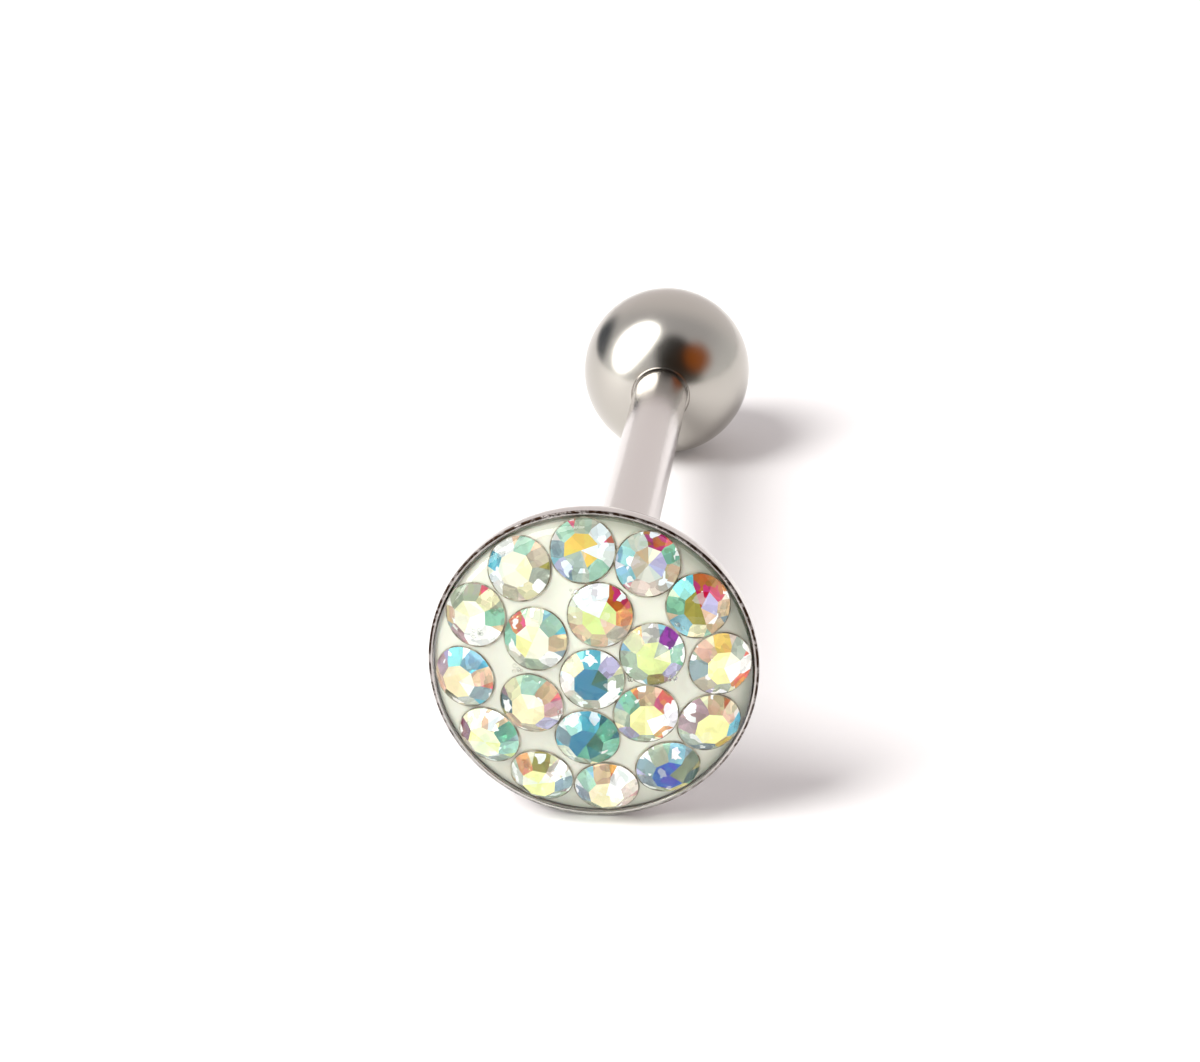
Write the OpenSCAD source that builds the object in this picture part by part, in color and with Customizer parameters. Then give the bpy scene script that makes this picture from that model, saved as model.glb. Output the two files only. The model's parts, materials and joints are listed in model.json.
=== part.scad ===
// Tongue barbell: a straight steel bar with a domed cluster of crystals at the front end
// and a plain steel ball screwed on to the back end. It lies on the floor, front end
// towards -Y, on the edge of its cup and on the ball.
//
// Each piece is modelled upright, on the jewel's own axis. There, +Z points out of the
// front of the cup and z = 0 is the plane of the cup's lip. lay_down() then turns the
// whole jewel to where it rests.

/* [Bar] */
// Radius of the bar, 14 gauge
bar_r = 0.8; // [0.76:0.02:1]
// Length of the bar, from the back of the cup to its shoulder at the ball
bar_length = 19; // [14:0.5:24]
// Reach of the solder fillet between the cup and the bar
fillet = 0.4; // [0.2:0.05:0.6]

/* [Cup] */
// Outer radius of the cup
cup_r = 4; // [3.98:0.02:4.4]
// Depth of the cup, from its lip to its back
cup_depth = 1; // [0.9:0.05:1.4]
// Outer radius of the rounded edge at the back of the cup
cup_edge = 0.8; // [0.6:0.05:0.85]
// Thickness of the cup's metal
cup_wall = 0.12; // [0.08:0.01:0.13]

/* [Crystals] */
// Radius of each crystal at its girdle
stone_r = 0.75; // [0.65:0.01:0.75]
// Radius of the flat table, to its corners
table_r = 0.42; // [0.3:0.01:0.5]
// Height of the crown, from the girdle to the table
crown_h = 0.34; // [0.25:0.01:0.38]
// Depth of the pavilion, from the girdle to the point
pavilion_h = 0.76; // [0.6:0.01:0.85]
// How far past the girdle the planes of the facets meet
girdle_over = 0.02; // [0.01:0.01:0.04]
// Number of sides of the table, and of crown and pavilion facets
stone_sides = 8; // [8:1:12]

/* [Dome] */
// Radius of the sphere on which the girdles lie
dome_r = 9.15; // [8.8:0.05:11]
// Height of that sphere's top above the lip
dome_rise = 0.75; // [0.6:0.05:0.85]
// Thickness of the clear resin over the tables
resin_cover = 0.15; // [0.1:0.01:0.25]
// Radius of the resin's rounded edge at the lip
resin_edge = 0.6; // [0.5:0.05:0.65]
// Gap between pieces that are glued together
glue_gap = 0.02; // [0.01:0.005:0.02]

/* [Ball and thread] */
// Radius of the ball
ball_r = 2.5; // [2.4:0.1:3]
// Length of the threaded stud that enters the ball
stud_length = 2.6; // [2:0.1:3]
// Radius of the stud over its sharp crests
stud_r = 0.74; // [0.6:0.01:0.74]
// Distance from one thread ring to the next
pitch = 0.35; // [0.25:0.05:0.5]
// Depth of the thread
thread_depth = 0.1; // [0.05:0.01:0.15]
// Radial clearance of the stud in the ball, and of the bar in its seat
screw_clearance = 0.04; // [0.02:0.01:0.08]
// Distance from the ball's centre to the seat of the bar's shoulder
seat_out = 2.26; // [1.8:0.02:2.26]

/* [Hidden] */
// Columns: ring radius of the crystal's middle, its bearing anticlockwise from the
// right as seen from the front, its turn about its own axis, and its tint
RING = 0;
BEARING = 1;
TURN = 2;
TINT = 3;
STONES = [
  [0.06, -5, 10, "darkturquoise"],
  [1.62, 82, 22, "greenyellow"],
  [1.62, 24, 5, "mediumorchid"],
  [1.62, -34, 38, "lemonchiffon"],
  [1.60, -92, 14, "teal"],
  [1.60, -151.5, 30, "khaki"],
  [1.60, 145, 8, "lightyellow"],
  [3.09, 94.5, 18, "gold"],
  [3.09, 65, 41, "crimson"],
  [3.09, 35.5, 27, "mediumaquamarine"],
  [3.09, 6, 3, "yellow"],
  [3.09, -23.5, 35, "khaki"],
  [3.09, -53, 12, "royalblue"],
  [3.09, -83, 25, "wheat"],
  [3.09, -113, 40, "lemonchiffon"],
  [3.09, -143.5, 16, "paleturquoise"],
  [3.09, -174, 33, "moccasin"],
  [3.09, 155, 7, "cornsilk"],
  [3.09, 124.5, 20, "lavender"]
];
stone_count = len(STONES);
function stone_name(i) = str("stone_", i < 9 ? "0" : "", i + 1);

// Sides of a turned surface, and steps along a rounded corner of its section
round_fn = 128;
corner_steps = 10;

// Inside of the cup, and the same less the glue gap
inner_r = cup_r - cup_wall;
inner_edge = cup_edge - cup_wall;
floor_z = cup_wall - cup_depth;
fill_r = inner_r - glue_gap;
// Middle of the cup's rounded edge
edge_ring = cup_r - cup_edge;
edge_z = cup_edge - cup_depth;

// Centre of the dome, on the axis, and the resin's outer radius from there
dome_z = dome_rise - dome_r;
resin_r = dome_r + crown_h + resin_cover;

// Corners where the planes of a crystal's facets meet, and heights at which the edges
// between facets run out on the girdle
facet_corner = (stone_r + girdle_over) / cos(180 / stone_sides);
crown_band = crown_h * (facet_corner - stone_r) / (facet_corner - table_r);
pavilion_band = pavilion_h * (facet_corner - stone_r) / facet_corner;

// Shoulder of the bar, end of the stud and middle of the ball
shoulder_z = -cup_depth - bar_length;
stud_end = shoulder_z - stud_length;
seat_gap = 0.02;
seat_z = shoulder_z - seat_gap;
ball_z = seat_z - seat_out;
// Room past the stud's end, and the drill's point beyond it
hole_spare = 0.2;
drill_point = 0.35;

// Slope of the axis at which the cup's edge and the ball both touch the floor
reach = edge_z - ball_z;
dip = acos((ball_r - cup_edge) / norm([edge_ring, reach])) - atan2(reach, edge_ring);
lip_height = edge_ring * cos(dip) - edge_z * sin(dip) + cup_edge;
// Front and back of the jewel along Y, when the middle of its lip is at Y = 0
front_y = -dome_z * cos(dip) - resin_r;
back_y = -ball_z * cos(dip) + ball_r;

// Puts an upright piece where it lies, with the origin under the middle of the jewel
module lay_down() {
  translate([0, -(front_y + back_y) / 2, lip_height])
    rotate([90 - dip, 0, 0])
      children();
}

// Points of a rounded corner of radius r about [x, z], from angle a0 to angle a1
function corner(x, z, r, a0, a1) = [
  for (i = [0:corner_steps])
    let (a = a0 + (a1 - a0) * i / corner_steps)
      [x + r * cos(a), z + r * sin(a)]
];

// Thread rings down the stud, from its shoulder to its end
function thread_rings() =
  let (
    root_r = stud_r - thread_depth,
    rings = floor(stud_length / pitch - 0.5)
  )
  concat(
    [[root_r, shoulder_z]],
    [for (i = [0:rings - 1]) each [
      [root_r, shoulder_z - pitch * (i + 0.6)],
      [stud_r, shoulder_z - pitch * (i + 1)],
      [root_r, shoulder_z - pitch * (i + 1.4)]
    ]],
    [[root_r, stud_end], [0, stud_end]]
  );

// Cup, bar and stud, one turned piece, since the bar is soldered to the cup
module cup_and_bar() {
  color("silver")
    lay_down()
      rotate_extrude($fn = round_fn)
        polygon(concat(
          [[0, floor_z]],
          corner(edge_ring, edge_z, inner_edge, -90, 0),
          [[inner_r, 0], [cup_r, 0]],
          corner(edge_ring, edge_z, cup_edge, 0, -90),
          corner(bar_r + fillet, -cup_depth - fillet, fillet, 90, 180),
          [[bar_r, shoulder_z]],
          thread_rings()
        ));
}

// Places children at the middle of crystal i, with +Z along that crystal's own axis
module at_stone(i) {
  lean = asin(STONES[i][RING] / dome_r);
  translate([0, 0, dome_z])
    rotate([0, 0, STONES[i][BEARING]])
      rotate([0, lean, 0])
        translate([0, 0, dome_r])
          rotate([0, 0, STONES[i][TURN]])
            children();
}

// Room for one crystal, with the glue gap all round it
module stone_socket() {
  rotate_extrude($fn = round_fn / 2)
    polygon([
      [0, -pavilion_h - 2 * glue_gap],
      [stone_r + glue_gap, -pavilion_band - glue_gap],
      [stone_r + glue_gap, crown_band + glue_gap],
      [table_r + glue_gap, crown_h + glue_gap],
      [0, crown_h + glue_gap]
    ]);
}

// Bed that fills the cup and holds the crystals up to their girdles
module setting() {
  color("ivory")
    lay_down()
      difference() {
        intersection() {
          rotate_extrude($fn = round_fn)
            polygon(concat(
              [[0, dome_rise], [0, floor_z + glue_gap]],
              corner(edge_ring, edge_z, inner_edge - glue_gap, -90, 0),
              [[fill_r, dome_rise]]
            ));
          translate([0, 0, dome_z]) sphere(r = dome_r - glue_gap / 2, $fn = 2 * round_fn);
        }
        for (i = [0:stone_count - 1]) at_stone(i) stone_socket();
      }
}

// Clear resin poured over the crystals and the bed, with a rounded edge at the lip
module resin_dome() {
  round_x = fill_r - resin_edge;
  round_z = dome_z + sqrt(pow(resin_r - resin_edge, 2) - pow(round_x, 2));
  side = asin(round_x / (resin_r - resin_edge));
  color([0.93, 0.96, 0.95, 0.35])
    lay_down()
      difference() {
        rotate_extrude($fn = round_fn)
          polygon(concat(
            [[0, edge_z], [fill_r, edge_z]],
            corner(round_x, round_z, resin_edge, 0, 90 - side),
            corner(0, dome_z, resin_r, 90 - side, 90)
          ));
        translate([0, 0, dome_z]) sphere(r = dome_r + glue_gap / 2, $fn = 2 * round_fn);
        for (i = [0:stone_count - 1]) at_stone(i) stone_socket();
      }
}

// One crystal: a table with a crown facet at each side, a round girdle, and as many
// pavilion facets down to a point
module stone(i) {
  color(STONES[i][TINT])
    lay_down()
      at_stone(i)
        intersection() {
          translate([0, 0, -pavilion_h])
            cylinder(r = stone_r, h = pavilion_h + crown_h, $fn = round_fn / 2);
          union() {
            cylinder(r1 = facet_corner, r2 = table_r, h = crown_h, $fn = stone_sides);
            translate([0, 0, -pavilion_h])
              cylinder(r1 = 0, r2 = facet_corner, h = pavilion_h, $fn = stone_sides);
          }
        }
}

// Ball, with a blind hole for the stud and a shallow seat for the bar's shoulder
module ball() {
  mouth_z = ball_z + ball_r;
  color("silver")
    lay_down()
      difference() {
        translate([0, 0, ball_z]) sphere(r = ball_r, $fn = round_fn);
        rotate_extrude($fn = round_fn)
          polygon([
            [0, stud_end - hole_spare - drill_point],
            [stud_r + screw_clearance, stud_end - hole_spare],
            [stud_r + screw_clearance, seat_z],
            [bar_r + screw_clearance, seat_z],
            [bar_r + screw_clearance, mouth_z],
            [0, mouth_z]
          ]);
      }
}

cup_and_bar();
setting();
resin_dome();
ball();
for (i = [0:stone_count - 1]) {
  stone(i);
}
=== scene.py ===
import json
import math
import random

import bmesh
import bpy
from mathutils import Matrix, Vector


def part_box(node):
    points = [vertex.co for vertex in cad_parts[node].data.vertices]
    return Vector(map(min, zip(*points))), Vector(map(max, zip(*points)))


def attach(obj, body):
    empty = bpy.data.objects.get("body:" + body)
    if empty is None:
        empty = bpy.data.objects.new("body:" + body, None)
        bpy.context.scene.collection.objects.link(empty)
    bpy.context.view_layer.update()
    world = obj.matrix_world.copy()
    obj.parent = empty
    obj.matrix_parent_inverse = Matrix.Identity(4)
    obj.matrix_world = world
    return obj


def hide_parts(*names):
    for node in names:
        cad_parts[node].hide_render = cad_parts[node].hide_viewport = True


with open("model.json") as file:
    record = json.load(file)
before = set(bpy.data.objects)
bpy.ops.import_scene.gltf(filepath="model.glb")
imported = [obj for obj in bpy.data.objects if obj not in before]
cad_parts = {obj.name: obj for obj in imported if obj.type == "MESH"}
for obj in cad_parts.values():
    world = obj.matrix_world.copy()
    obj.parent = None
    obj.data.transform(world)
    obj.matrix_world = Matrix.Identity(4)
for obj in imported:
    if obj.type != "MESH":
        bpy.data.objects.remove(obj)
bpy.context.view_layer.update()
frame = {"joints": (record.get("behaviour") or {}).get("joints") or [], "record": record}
print("frame loaded")

# The jewel's own upright frame in millimetres: +Z points out of the front of the cup,
# z = 0 is the plane of the cup's lip and x runs to the right, seen from the front.
jewel = {
    "ballRadius": 2.5,
    "lipToBall": 22.28,    # from the lip's plane to the ball's middle
    "domeRadius": 9.15,    # sphere on which the crystals' girdles lie
    "domeRise": 0.75,      # its top above the lip
}
backwards = Vector(frame["joints"][0]["axis"]).normalized()
ballTop = Vector(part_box("ball")[1]) * 1000
ballMiddle = Vector((0, ballTop.y - jewel["ballRadius"], ballTop.z - jewel["ballRadius"]))
lipMiddle = ballMiddle - backwards * jewel["lipToBall"]
outward = -backwards
sideways = Vector((1, 0, 0))
upward = outward.cross(sideways)
toFloor = (
    Matrix.Scale(0.001, 4)
    @ Matrix.Translation(lipMiddle)
    @ Matrix((sideways, upward, outward)).transposed().to_4x4()
)
domeZ = jewel["domeRise"] - jewel["domeRadius"]


def paint(red, green, blue):    # a colour as a paint chart gives it, 0 to 255
    def linear(c):
        c = c / 255
        return c / 12.92 if c <= 0.04045 else ((c + 0.055) / 1.055) ** 2.4
    return (linear(red), linear(green), linear(blue), 1.0)


# Node sheets: maths on sockets, and one way to add any other node

class Wire:    # a socket whose arithmetic adds Math nodes
    def __init__(self, sheet, socket):
        self.sheet = sheet
        self.socket = socket

    def __add__(self, other):
        return self.sheet.maths("ADD", self, other)

    def __radd__(self, other):
        return self.sheet.maths("ADD", other, self)

    def __sub__(self, other):
        return self.sheet.maths("SUBTRACT", self, other)

    def __rsub__(self, other):
        return self.sheet.maths("SUBTRACT", other, self)

    def __mul__(self, other):
        return self.sheet.maths("MULTIPLY", self, other)

    def __rmul__(self, other):
        return self.sheet.maths("MULTIPLY", other, self)


class Sheet:    # one node tree
    def __init__(self, tree):
        self.tree = tree
        tree.nodes.clear()

    def node(self, kind, settings=None, inputs=None, output=0):
        made = self.tree.nodes.new(kind)
        for name, value in (settings or {}).items():
            setattr(made, name, value)
        for name, value in (inputs or {}).items():
            if isinstance(value, Wire):
                self.tree.links.new(value.socket, made.inputs[name])
            else:
                made.inputs[name].default_value = value
        return Wire(self, made.outputs[output]) if made.outputs else made

    def maths(self, operation, *values):
        return self.node("ShaderNodeMath", {"operation": operation}, dict(enumerate(values)))

    def ramp(self, value, low, high):    # 0 below low, 1 above high, smooth between
        return self.node("ShaderNodeMapRange", {"interpolation_type": "SMOOTHSTEP"}, {
            "Value": value, "From Min": low, "From Max": high,
        })

    def blend(self, factor, one, other):    # between two colours
        return self.node("ShaderNodeMix", {"data_type": "RGBA"}, {
            0: factor, 6: one, 7: other,
        }, output=2)

    def scaled(self, vector, factor):
        return self.node("ShaderNodeVectorMath", {"operation": "MULTIPLY"}, {
            0: vector, 1: factor,
        })

    def part(self, vector, axis):    # x, y or z of a vector, for axis 0, 1 or 2
        return self.node("ShaderNodeSeparateXYZ", None, {0: vector}, output=axis)

    def fromAxis(self, place):    # distance from the jewel's own axis
        flat = self.scaled(place, (1.0, 1.0, 0.0))
        return self.node("ShaderNodeVectorMath", {"operation": "LENGTH"}, {0: flat}, output=1)

    def facing(self):    # 0 where a surface is seen straight on, 1 at its outline
        return self.node("ShaderNodeLayerWeight", None, {"Blend": 0.5}, output=1)

    def attribute(self, name, output=1):
        return self.node("ShaderNodeAttribute", {"attribute_name": name}, output=output)

    def noise(self, place, scale, detail=2.0, rough=0.5):
        return self.node("ShaderNodeTexNoise", None, {
            "Vector": place, "Scale": scale, "Detail": detail, "Roughness": rough,
        })

    def bump(self, height, strength, distance):
        return self.node("ShaderNodeBump", None, {
            "Height": height, "Strength": strength, "Distance": distance,
        })


def newMaterial(name):
    material = bpy.data.materials.new(name)
    material.use_nodes = True
    return material, Sheet(material.node_tree)


def surface(sheet, shader):
    sheet.node("ShaderNodeOutputMaterial", None, {"Surface": shader})


def principled(sheet, inputs):
    surface(sheet, sheet.node("ShaderNodeBsdfPrincipled", None, inputs))


# Steel: polished, with hair-fine turning marks, and dark lines along the cup's lip that are
# partly wear and partly a painted dark reflection

steelLook = {
    "colour": paint(204, 199, 196),
    "roughness": 0.16,
    "cloudiness": 0.06,
    "turning": (0.6, 0.6, 26.0),    # stretches the marks round the axis
    "scratches": 0.06,
    "bump": 0.00004,
    "wearAndDarkReflection": 0.95,                   # wear and painted dark reflection along the cup's lip, 0 for none
    "wearAndReflectionDark": paint(48, 32, 22),
    "lipFrom": -0.06,               # heights, where the lip's darkening starts and is full
    "lipTo": -0.02,
    "outerLine": (3.932, 3.952),    # radii of the lip's dark lines
    "innerLine": 3.902,
    "innerFade": 0.012,
    # darkens the lip more towards its top
    "darkerTowardsTop": 0.4,
}
ballLook = {**steelLook, "colour": paint(184, 181, 174), "roughness": 0.21, "wearAndDarkReflection": 0.0}


# The lip's dark lines: partly wear, partly a painted dark reflection, heavier towards the top
def lipWearAndDarkReflection(sheet, place, look):
    radius = sheet.fromAxis(place)
    upwards = sheet.part(place, 1)
    nearLip = sheet.ramp(sheet.part(place, 2), look["lipFrom"], look["lipTo"])
    outerLine = sheet.ramp(radius, *look["outerLine"])
    outerLine = outerLine * (0.8 + 0.2 * sheet.ramp(upwards, -3.2, -1.6))
    innerLine = sheet.ramp(look["innerLine"] - radius, 0.0, look["innerFade"])
    innerLine = innerLine * sheet.ramp(upwards, -2.6, -1.0)
    darkerTowardsTop = sheet.ramp(upwards, -1.5, 1.5) * look["darkerTowardsTop"]
    specks = 0.4 + 0.6 * sheet.ramp(sheet.noise(place, 3.2, 7.0, 0.8), 0.42, 0.56)
    return nearLip * (outerLine + innerLine + darkerTowardsTop) * specks * look["wearAndDarkReflection"]


def makeSteel(name, look):
    material, sheet = newMaterial(name)
    place = sheet.attribute("placeMm")
    colour = look["colour"]
    rough = look["roughness"] + (sheet.noise(place, 1.7, 3.0) - 0.5) * look["cloudiness"]
    marks = sheet.noise(sheet.scaled(place, look["turning"]), 1.4, 4.0, 0.6)
    relief = marks * look["scratches"]
    if look["wearAndDarkReflection"]:
        # the darkened lip is partly wear and partly a painted dark reflection
        darkLip = lipWearAndDarkReflection(sheet, place, look)
        colour = sheet.blend(darkLip, colour, look["wearAndReflectionDark"])
        rough = rough + darkLip * 0.15
        relief = relief - darkLip * 0.3
    principled(sheet, {
        "Base Color": colour,
        "Metallic": 1.0,
        "Roughness": rough,
        "Normal": sheet.bump(relief, 0.35, look["bump"]),
    })
    return material


steelMaterial = makeSteel("polished_steel", steelLook)
ballMaterial = makeSteel("polished_ball_steel", ballLook)

# Ivory bed: smooth putty, cream in the middle, with painted shade: greyer towards the rim and
# on the left, and darker where it dives under the lip on the upper right

bedLook = {
    "middle": paint(237, 239, 228),
    # painted shade: the greyer colour towards the rim and on the left
    "rimShade": paint(208, 208, 197),
    "shade": paint(134, 140, 124),    # where the bed dives under the lip
    "greyFrom": 2.3,                  # distances from the axis
    "greyTo": 3.95,
    "shadeFrom": 3.4,
    "shadeTo": 3.88,
    "shadeAmount": 0.85,
    # share of painted shade on the left side
    "leftShade": 0.9,
    "roughness": 0.42,
}


def makeBed(look):
    material, sheet = newMaterial("ivory_bed")
    place = sheet.attribute("placeMm")
    fromAxis = sheet.fromAxis(place)
    mottle = sheet.noise(place, 1.3, 3.0)
    grain = sheet.noise(place, 26.0, 3.0)
    # painted shade: greyer towards the rim and on the left, darker under the lip on the upper
    # right
    towardsRim = sheet.ramp(fromAxis + (mottle - 0.5) * 0.7, look["greyFrom"], look["greyTo"])
    colour = sheet.blend(towardsRim, look["middle"], look["rimShade"])
    across = sheet.part(place, 0)
    leftwards = sheet.ramp(-1.0 * across, -1.8, 2.6)
    colour = sheet.blend(leftwards * look["leftShade"], colour, look["rimShade"])
    shaded = sheet.ramp(fromAxis, look["shadeFrom"], look["shadeTo"])
    shaded = shaded * sheet.ramp(across + sheet.part(place, 1) * 0.6, 0.0, 3.0)
    principled(sheet, {
        "Base Color": sheet.blend(shaded * look["shadeAmount"], colour, look["shade"]),
        "Roughness": look["roughness"] + (grain - 0.5) * 0.2,
        "Subsurface Weight": 0.15,
        "Subsurface Scale": 0.0004,
        "Normal": sheet.bump(grain, 0.12, 0.00003),
    })
    return material


bedMaterial = makeBed(bedLook)

# Clear resin: seen straight through, with a wet gloss that waves a little

resinLook = {
    "clear": paint(253, 254, 253),
    "slanting": paint(168, 174, 164),    # seen along its surface
    "slantFrom": 0.5,
    "slantTo": 0.96,
    "ior": 1.42,
    "roughness": 0.03,
}


def makeResin(look):
    material, sheet = newMaterial("clear_resin")
    place = sheet.attribute("placeMm")
    bumped = sheet.bump(sheet.noise(place, 0.55, 2.0), 0.25, 0.0002)
    back = sheet.node("ShaderNodeNewGeometry", output=6)
    fresnel = sheet.node("ShaderNodeFresnel", None, {"IOR": look["ior"], "Normal": bumped})
    gloss = sheet.node("ShaderNodeBsdfGlossy", None, {
        "Color": (1, 1, 1, 1),
        "Roughness": look["roughness"],
        "Normal": bumped,
    })
    straight = sheet.node("ShaderNodeBsdfTransparent", None, {"Color": look["clear"]})
    slanting = sheet.node("ShaderNodeBsdfTransparent", None, {"Color": look["slanting"]})
    through = sheet.node("ShaderNodeMixShader", None, {
        0: sheet.ramp(sheet.facing(), look["slantFrom"], look["slantTo"]),
        1: straight, 2: slanting,
    })
    surface(sheet, sheet.node("ShaderNodeMixShader", None, {
        0: fresnel * (1 - back), 1: through, 2: gloss,
    }))
    return material


resinMaterial = makeResin(resinLook)

# Trapped air: tiny clear bubbles with dark rings round them, a painted dark reflection at their
# edges

bubbleLook = {
    "colour": paint(250, 251, 248),
    "cloudy": paint(214, 216, 210),
    "ring": paint(66, 62, 54),
    "paleRing": paint(104, 96, 80),
    "ior": 1.3,
    "ringFrom": 0.35,      # how far out from a bubble's middle its ring starts
    "ringTo": 0.75,
}


def makeAir(look):
    material, sheet = newMaterial("trapped_air")
    place = sheet.attribute("placeMm")
    grit = sheet.noise(place, 20.0)
    drop = sheet.node("ShaderNodeBsdfPrincipled", None, {
        "Base Color": sheet.blend(grit * 0.2, look["colour"], look["cloudy"]),
        "Roughness": 0.0,
        "IOR": look["ior"],
        "Transmission Weight": 1.0,
    })
    ring = sheet.node("ShaderNodeBsdfPrincipled", None, {
        "Base Color": sheet.blend(grit, look["ring"], look["paleRing"]),
        "Roughness": 0.25,
    })
    # painted dark reflection: an opaque dark ring where a bubble is seen edge-on
    surface(sheet, sheet.node("ShaderNodeMixShader", None, {
        0: sheet.ramp(sheet.facing(), look["ringFrom"], look["ringTo"]), 1: drop, 2: ring,
    }))
    return material


airMaterial = makeAir(bubbleLook)

# Crystals: a glass crown whose iridescent coat tints what shows through each facet, over
# a mirror-like foil on the pavilion facets that also glows with painted light, with a ground
# girdle between the two. The facets' tints are partly coat colour and partly painted reflection

crystalLook = {
    "ior": 1.54,
    "coatThickness": 420.0,    # nanometres
    "coatIor": 1.65,
    "gloss": 0.2,              # little of its own, under the resin
    # painted light: the foil glows in its tint, standing in for what its mirror would show
    "foilGlow": 1.18,
    "foilShine": 0.2,
    "foilRoughness": 0.04,
    "foilCloud": paint(238, 240, 240),
    "shards": 3.8,             # slivers of other tints in a facet, per millimetre
    "shardHue": 0.045,
    "hazeHue": 0.03,
    "shardShade": 0.68,
    "sparkleFrom": 0.87,       # slivers past this draw get a painted white highlight
    "sparkle": 0.75,
    "girdle": paint(150, 143, 130),
    "paleGirdle": paint(196, 192, 182),
}


def makeCrown(look):
    material, sheet = newMaterial("crystal_crown")
    place = sheet.attribute("placeMm")
    broken = sheet.attribute("coatBroken", 2)
    shard = sheet.node("ShaderNodeTexVoronoi", {"distance": "MANHATTAN"}, {
        "Vector": place, "Scale": look["shards"],
    }, output=1)
    drawn, dimmed, bright = [sheet.part(shard, axis) for axis in range(3)]
    haze = sheet.noise(place, 5.0, 3.0)
    # painted white highlights on the brightest slivers of a facet
    sparkle = sheet.ramp(bright, look["sparkleFrom"], look["sparkleFrom"] + 0.04) * broken
    shardHue = (drawn - 0.5) * look["shardHue"] * broken
    colour = sheet.node("ShaderNodeHueSaturation", None, {
        "Hue": 0.5 + shardHue + (haze - 0.5) * look["hazeHue"],
        "Value": 1.0 - dimmed * look["shardShade"] * broken,
        "Color": sheet.attribute("coatAndReflectionTint", 0),
    })
    principled(sheet, {
        "Base Color": sheet.blend(sparkle * look["sparkle"], colour, (1, 1, 1, 1)),
        "Roughness": 0.0,
        "IOR": look["ior"],
        "Transmission Weight": 1.0,
        "Specular IOR Level": look["gloss"],
        "Thin Film Thickness": look["coatThickness"],
        "Thin Film IOR": look["coatIor"],
    })
    return material


def makeFoil(look):
    material, sheet = newMaterial("crystal_foil")
    tint = sheet.attribute("coatAndReflectionTint", 0)
    cloud = sheet.noise(sheet.attribute("placeMm"), 3.0, 2.0)
    clouded = sheet.blend(cloud * 0.3, tint, look["foilCloud"])
    principled(sheet, {
        "Base Color": sheet.scaled(clouded, (look["foilShine"],) * 3),
        "Metallic": 1.0,
        "Roughness": look["foilRoughness"],
        # painted light: the glow stands in for what the foil mirrors
        "Emission Color": sheet.scaled(tint, (look["foilGlow"],) * 3),
        "Emission Strength": 1.0,
    })
    return material


def makeGirdle(look):
    material, sheet = newMaterial("crystal_girdle")
    grit = sheet.noise(sheet.attribute("placeMm"), 30.0, 3.0)
    principled(sheet, {
        "Base Color": sheet.blend(grit, look["girdle"], look["paleGirdle"]),
        "Roughness": 0.35 + grit * 0.2,
        "Normal": sheet.bump(grit, 0.3, 0.00001),
    })
    return material


crownMaterial = makeCrown(crystalLook)
foilMaterial = makeFoil(crystalLook)
girdleMaterial = makeGirdle(crystalLook)
print("materials ready")


# Mesh helpers: everything is drawn upright in millimetres, then laid down

def newObject(name, mesh):
    made = bpy.data.objects.new(name, mesh)
    bpy.context.scene.collection.objects.link(made)
    return made


def layDown(mesh):
    place = mesh.attributes.new("placeMm", "FLOAT_VECTOR", "POINT")
    flat = [0.0] * (3 * len(mesh.vertices))
    mesh.vertices.foreach_get("co", flat)
    place.data.foreach_set("vector", flat)
    mesh.transform(toFloor)
    mesh.update()


def arc(x, z, radius, start, end, steps):    # points of a rounded corner, in degrees
    turns = [math.radians(start + (end - start) * i / steps) for i in range(steps + 1)]
    return [(x + radius * math.cos(a), z + radius * math.sin(a)) for a in turns]


def turnedMesh(name, profile, sides, ripple=None):
    # A section of (radius, z) from one point on the axis to another, turned round it.
    # It goes up the outside, so that the faces point outwards.
    mesh = bpy.data.meshes.new(name)
    shape = bmesh.new()
    rings = []
    for radius, z in profile:
        if radius < 1e-6:
            rings.append([shape.verts.new((0, 0, z))])
            continue
        ring = []
        for k in range(sides):
            a = 2 * math.pi * k / sides
            lift = ripple(radius, z, a) if ripple else 0.0
            x, y = radius * math.cos(a), radius * math.sin(a)
            ring.append(shape.verts.new((x, y, z + lift)))
        rings.append(ring)
    for low, high in zip(rings, rings[1:]):
        for k in range(sides):
            n = (k + 1) % sides
            if len(low) == 1:
                shape.faces.new((low[0], high[n], high[k]))
            elif len(high) == 1:
                shape.faces.new((low[k], low[n], high[0]))
            else:
                shape.faces.new((low[k], low[n], high[n], high[k]))
    for face in shape.faces:
        face.smooth = True
    shape.to_mesh(mesh)
    shape.free()
    return mesh


def turnedPiece(name, meshName, profile, sides, material, sharp=35, ripple=None):
    mesh = turnedMesh(meshName, profile, sides, ripple)
    mesh.set_sharp_from_angle(angle=math.radians(sharp))
    layDown(mesh)
    mesh.materials.append(material)
    return newObject(name, mesh)


def evaluated(source, name):    # the modified object as a plain mesh object
    bpy.context.view_layer.update()
    depsgraph = bpy.context.evaluated_depsgraph_get()
    mesh = bpy.data.meshes.new_from_object(source.evaluated_get(depsgraph))
    mesh.name = name
    old = source.data
    bpy.data.objects.remove(source)
    if old.users == 0:
        bpy.data.meshes.remove(old)
    return newObject(name, mesh)


def grown(name, group, start, values):    # runs a node group on a start mesh
    source = newObject(name + "_start", start)
    modifier = source.modifiers.new("grow", "NODES")
    modifier.node_group = group
    sockets = {
        item.name: item.identifier
        for item in group.interface.items_tree
        if item.item_type == "SOCKET" and item.in_out == "INPUT"
    }
    for label, value in values.items():
        modifier[sockets[label]] = value
    return evaluated(source, name)


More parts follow.
